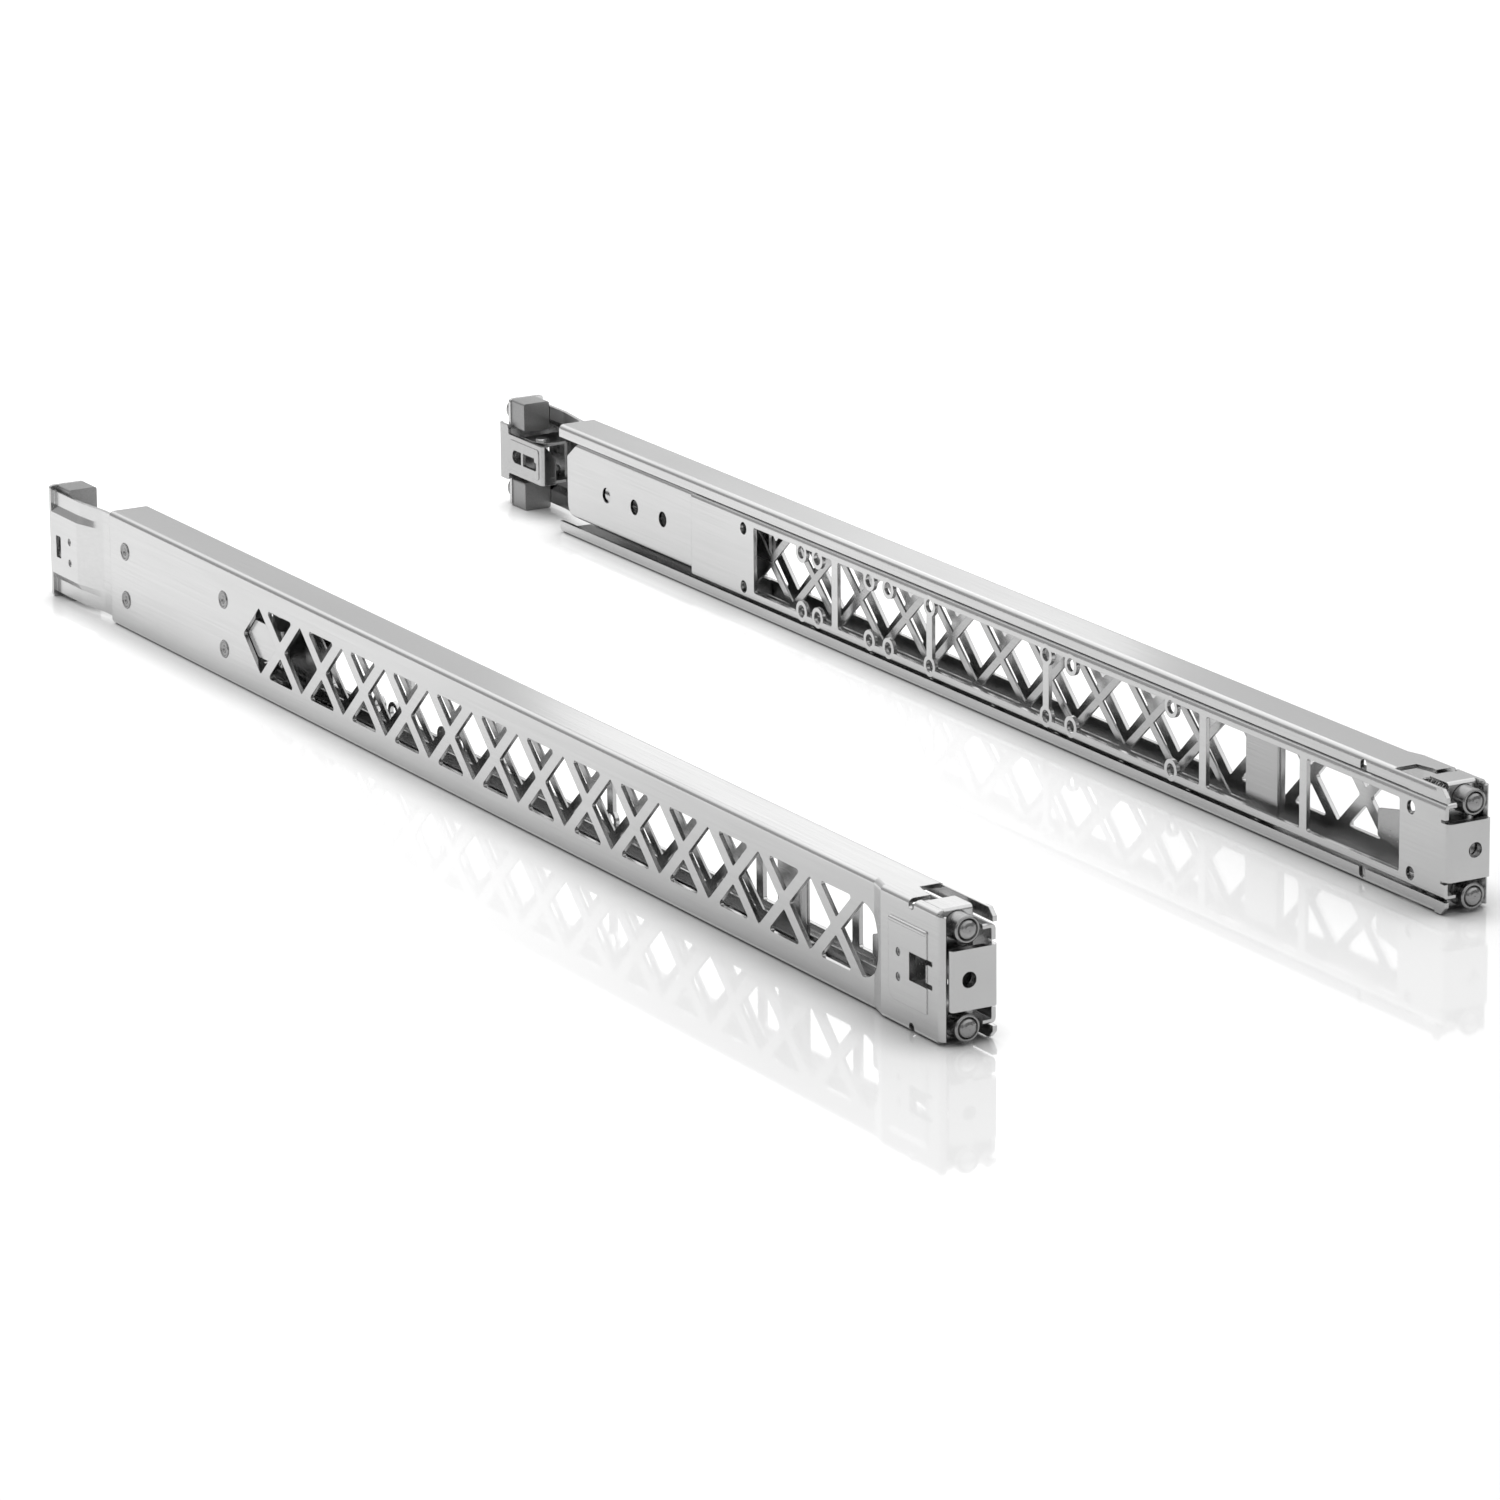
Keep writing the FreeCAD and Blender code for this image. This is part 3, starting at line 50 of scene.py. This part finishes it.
# For each slot of the record: tone, roughness, grain, and how strong its streaks are.
STEELS = {
    "rail_steel": (0.52, 0.21, ALONG_Y, CLEAR),
    "member_steel": (0.52, 0.21, ALONG_Y, CLEAR),
    "cage_steel": (0.4, 0.25, ALONG_Y, CLEAR),
    "latch_steel": (0.4, 0.25, ALONG_X, CLEAR),
    "block_steel": (0.27, 0.4, EVEN, CLEAR),
    "turned_steel": (0.29, 0.25, EVEN, CLEAR),
    "fastener_steel": (0.27, 0.25, EVEN, CLEAR),
    "hardened_steel": (0.52, 0.12, EVEN, FAINT),
    "spring_wire": (0.35, 0.3, EVEN, CLEAR),
}

# ---- floor ----
WHITE = (1.0, 1.0, 1.0, 1.0)
FLOOR_HALF = 9.0
FLOOR_TONE = 0.8
FLOOR_ROUGHNESS = 0.6
FLOOR_GLOSS = 0.26
MIRROR_ROUGHNESS = 0.05
# Painted contact shadow: how far from the parts the floor's colour and glow are darkened, and
# how finely.
PAINTED_SHADE_REACH = 0.02
PAINTED_SHADE_SAMPLES = 8
# Painted light: the floor's glow rises from the first level to the second between these
# places, front to rear.
PAINTED_GLOW_ENDS = (-0.4, 0.25)
PAINTED_GLOW_LEVELS = (0.22, 0.75)

# ---- studio: edges and sides are places on the unit sphere of directions ----
CEILING_EDGE = (0.36, 0.5)
CEILING_SIDES = (-0.5, 0.5)
CEILING_LEVELS = (0.95, 1.35)
AROUND_LEVEL = 0.3
WALL_EDGE = (0.2, 0.6)
WALL_SIDES = (-0.42, -0.05)
WALL_LEVELS = (0.2, 0.45)

# For each light card: its place, the point that it faces, width, height and power.
CARDS = {
    "back_card": ((0.47, 0.7, 0.37), (0.05, -0.1, 0.04), 0.28, 0.24, 0.17),
    "top_card": ((0.1, 0.7, 2.2), (0.0, 0.1, 0.0), 1.4, 1.0, 2.0),
}

# ---- the photograph's view: the lens and the sensor are millimetres ----
CAMERA_PLACE = (-1.28202, -2.252864, 0.734139)
CAMERA_YAW = math.radians(29.912)
CAMERA_PITCH = math.radians(15.899)
CAMERA_ROLL = math.radians(-0.513)
LENS = 183.89
SENSOR = 36.0
NEAREST = 0.05


# ---- shader helpers ----
def add(tree, kind, **inputs):
    """A node of this kind with some of its sockets set."""
    node = tree.nodes.new(kind)
    for name, value in inputs.items():
        node.inputs[name.replace("_", " ")].default_value = value
    return node


def new_material(name):
    """A node material with only an output and the Principled shader on it."""
    material = bpy.data.materials.new(name)
    material.use_nodes = True
    tree = material.node_tree
    tree.nodes.clear()
    output = tree.nodes.new("ShaderNodeOutputMaterial")
    shader = tree.nodes.new("ShaderNodeBsdfPrincipled")
    tree.links.new(shader.outputs["BSDF"], output.inputs["Surface"])
    return material, tree, shader, output


def combine(tree, operation, first, second):
    """Two values put together, each of them a socket or a plain number."""
    node = tree.nodes.new("ShaderNodeMath")
    node.operation = operation
    for entry, source in zip(node.inputs, (first, second)):
        if isinstance(source, float):
            entry.default_value = source
        else:
            tree.links.new(source, entry)
    return node.outputs["Value"]


def ramp(tree, value, ends, levels, shape="SMOOTHSTEP"):
    """A value that goes from the first level to the second between two ends."""
    step = add(tree, "ShaderNodeMapRange", From_Min=ends[0], From_Max=ends[1],
               To_Min=levels[0], To_Max=levels[1])
    step.interpolation_type = shape
    tree.links.new(value, step.inputs["Value"])
    return step.outputs["Result"]


def coordinate(tree, output, axis):
    """One axis of a texture coordinate."""
    coordinates = tree.nodes.new("ShaderNodeTexCoord")
    split = tree.nodes.new("ShaderNodeSeparateXYZ")
    tree.links.new(coordinates.outputs[output], split.inputs["Vector"])
    return split.outputs[axis]


def grey(tree, level):
    """A colour with the same level in each channel."""
    colour = tree.nodes.new("ShaderNodeCombineColor")
    for channel in ("Red", "Green", "Blue"):
        tree.links.new(level, colour.inputs[channel])
    return colour.outputs["Color"]


def stretched_noise(tree, stretch):
    """Noise drawn out along the axes where its scale is small."""
    coordinates = tree.nodes.new("ShaderNodeTexCoord")
    mapping = add(tree, "ShaderNodeMapping", Scale=stretch)
    noise = add(tree, "ShaderNodeTexNoise", Scale=1.0, Detail=NOISE_DETAIL,
                Roughness=NOISE_ROUGHNESS)
    tree.links.new(coordinates.outputs["Object"], mapping.inputs["Vector"])
    tree.links.new(mapping.outputs["Vector"], noise.inputs["Vector"])
    return noise.outputs["Fac"]


def spread(tree, noise, low, high):
    """The noise brought to a range between two numbers."""
    return ramp(tree, noise, NOISE_SPAN, (low, high), "LINEAR")


# ---- materials ----
def steel(name, tone, roughness, grain, streaks):
    """Metal with a fine grain, faint broad clouds and soft edges."""
    material, tree, shader, _ = new_material(name)
    fine = stretched_noise(tree, grain)
    clouds = stretched_noise(tree, CLOUDS)
    shade = combine(tree, "ADD", spread(tree, fine, tone - streaks, tone + streaks),
                    spread(tree, clouds, -streaks, streaks))
    gloss = spread(tree, fine, roughness * (1 + GLOSS_SPREAD), roughness * (1 - GLOSS_SPREAD))
    edge = add(tree, "ShaderNodeBevel", Radius=EDGE_RADIUS)
    edge.samples = EDGE_SAMPLES
    shader.inputs["Metallic"].default_value = 1.0
    tree.links.new(grey(tree, shade), shader.inputs["Base Color"])
    tree.links.new(gloss, shader.inputs["Roughness"])
    tree.links.new(edge.outputs["Normal"], shader.inputs["Normal"])
    return material


def dress_parts():
    """Each CAD node gets the steel of its slot in the record."""
    materials = {slot: steel(slot, *look) for slot, look in STEELS.items()}
    for part in frame["record"]["subparts"]:
        slots = nodes[part["node"]].data.materials
        slots.clear()
        slots.append(materials[part["material_slot"]])


def background_rays(tree):
    """One where the camera, a reflection or a clear body looks, and nought for other light."""
    path = tree.nodes.new("ShaderNodeLightPath")
    looks = combine(tree, "ADD", path.outputs["Is Camera Ray"], path.outputs["Is Glossy Ray"])
    return combine(tree, "MAXIMUM", looks, path.outputs["Is Transmission Ray"])


def floor_material():
    """White gloss with painted light, a glow that grows towards the rear, and painted contact
    shadow near the parts, the same for camera and metal.
    """
    material, tree, shader, output = new_material("floor")
    # Painted shadow: ambient occlusion darkens the floor's colour and glow near the parts.
    painted_contact_shade = add(tree, "ShaderNodeAmbientOcclusion", Distance=PAINTED_SHADE_REACH)
    painted_contact_shade.samples = PAINTED_SHADE_SAMPLES
    painted_shade_factor = painted_contact_shade.outputs["AO"]
    # Painted light: the floor glows brighter towards the rear, like a lamp that is not there.
    painted_glow = ramp(tree, coordinate(tree, "Object", "Y"), PAINTED_GLOW_ENDS, PAINTED_GLOW_LEVELS)
    painted_light = combine(tree, "MULTIPLY", painted_shade_factor, painted_glow)
    tree.links.new(grey(tree, combine(tree, "MULTIPLY", painted_shade_factor, FLOOR_TONE)),
                   shader.inputs["Base Color"])
    # The painted glow, darkened by the painted contact shadow, is the floor's emission for
    # camera, glossy and transmission rays.
    tree.links.new(combine(tree, "MULTIPLY", painted_light, background_rays(tree)),
                   shader.inputs["Emission Strength"])
    shader.inputs["Emission Color"].default_value = WHITE
    shader.inputs["Roughness"].default_value = FLOOR_ROUGHNESS
    shader.inputs["Specular IOR Level"].default_value = 0.0
    gloss = add(tree, "ShaderNodeBsdfGlossy", Color=WHITE, Roughness=MIRROR_ROUGHNESS)
    mix = add(tree, "ShaderNodeMixShader", Fac=FLOOR_GLOSS)
    tree.links.new(shader.outputs["BSDF"], mix.inputs[1])
    tree.links.new(gloss.outputs["BSDF"], mix.inputs[2])
    tree.links.new(mix.outputs["Shader"], output.inputs["Surface"])
    return material


# ---- stage, light and camera ----
def link(piece):
    """The piece joins the scene."""
    bpy.context.scene.collection.objects.link(piece)


def floor():
    """A wide plane at the rails' feet."""
    corners = [(-FLOOR_HALF, -FLOOR_HALF, 0), (FLOOR_HALF, -FLOOR_HALF, 0),
               (FLOOR_HALF, FLOOR_HALF, 0), (-FLOOR_HALF, FLOOR_HALF, 0)]
    mesh = bpy.data.meshes.new("floor")
    mesh.from_pydata(corners, [], [(0, 1, 2, 3)])
    mesh.materials.append(floor_material())
    plane = bpy.data.objects.new("floor", mesh)
    link(plane)


def world():
    """A studio with a ceiling that is brighter on the right, and a lighter back wall."""
    sky = bpy.data.worlds.new("studio")
    bpy.context.scene.world = sky
    sky.use_nodes = True
    tree = sky.node_tree
    sideways = coordinate(tree, "Generated", "X")
    behind = coordinate(tree, "Generated", "Y")
    height = coordinate(tree, "Generated", "Z")
    wall = combine(tree, "MULTIPLY", ramp(tree, behind, WALL_EDGE, (0.0, 1.0)),
                   ramp(tree, sideways, WALL_SIDES, WALL_LEVELS))
    ceiling = combine(tree, "MULTIPLY", ramp(tree, height, CEILING_EDGE, (0.0, 1.0)),
                      ramp(tree, sideways, CEILING_SIDES, CEILING_LEVELS))
    around = ramp(tree, height, CEILING_EDGE, (AROUND_LEVEL, 0.0))
    strength = combine(tree, "ADD", combine(tree, "ADD", wall, ceiling), around)
    background = tree.nodes["Background"]
    background.inputs["Color"].default_value = WHITE
    tree.links.new(strength, background.inputs["Strength"])


def card(name, place, target, width, height, power):
    """A soft light card that faces a point."""
    light = bpy.data.lights.new(name, "AREA")
    light.shape = "RECTANGLE"
    light.size = width
    light.size_y = height
    light.energy = power
    lamp = bpy.data.objects.new(name, light)
    lamp.location = place
    lamp.rotation_euler = (Vector(target) - Vector(place)).to_track_quat("-Z", "Y").to_euler()
    lamp.visible_camera = False
    link(lamp)


def camera():
    """The photograph's view: a long lens, from the front left and a little above."""
    forward = Vector((math.sin(CAMERA_YAW) * math.cos(CAMERA_PITCH),
                      math.cos(CAMERA_YAW) * math.cos(CAMERA_PITCH),
                      -math.sin(CAMERA_PITCH)))
    level = Vector((math.cos(CAMERA_YAW), -math.sin(CAMERA_YAW), 0.0))
    above = level.cross(forward)
    right = math.cos(CAMERA_ROLL) * level + math.sin(CAMERA_ROLL) * above
    up = -math.sin(CAMERA_ROLL) * level + math.cos(CAMERA_ROLL) * above
    lens = bpy.data.cameras.new("camera")
    lens.lens = LENS
    lens.sensor_width = SENSOR
    lens.clip_start = NEAREST
    view = bpy.data.objects.new("camera", lens)
    axes = Matrix((right, up, -forward)).transposed()
    view.matrix_world = Matrix.Translation(CAMERA_PLACE) @ axes.to_4x4()
    link(view)
    bpy.context.scene.camera = view


dress_parts()
floor()
world()
for name, setting in CARDS.items():
    card(name, *setting)
camera()
bpy.context.scene.view_settings.view_transform = "Standard"
